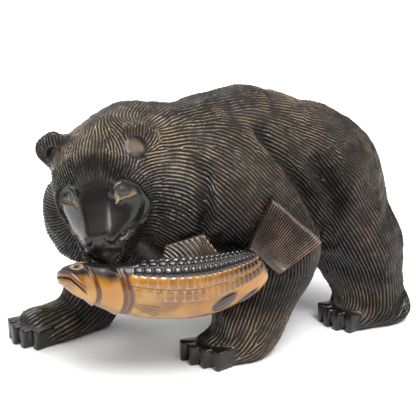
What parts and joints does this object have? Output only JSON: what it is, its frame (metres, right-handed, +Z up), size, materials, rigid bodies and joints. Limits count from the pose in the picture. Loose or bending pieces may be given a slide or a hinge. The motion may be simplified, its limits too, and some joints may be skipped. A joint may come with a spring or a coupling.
{
  "type": "carved wooden bear",
  "caption": "Carved wooden bear walking on four legs, head turned aside, with a salmon held across its mouth.",
  "frame": {"origin": "centre of the footprint of the bounding box, on the ground under the feet", "axes": "+Z up; +Y towards the bear's tail, along its length, so it walks towards -Y; +X towards its left side"},
  "size_m": [0.2154, 0.3588, 0.2372],
  "materials": {
    "carved_wood": "black stained wood with a worn satin lacquer, tan where the ridges have rubbed bare"
  },
  "bodies": {
    "root": {"carved_bear": "carved_wood"}
  },
  "joints": []
}
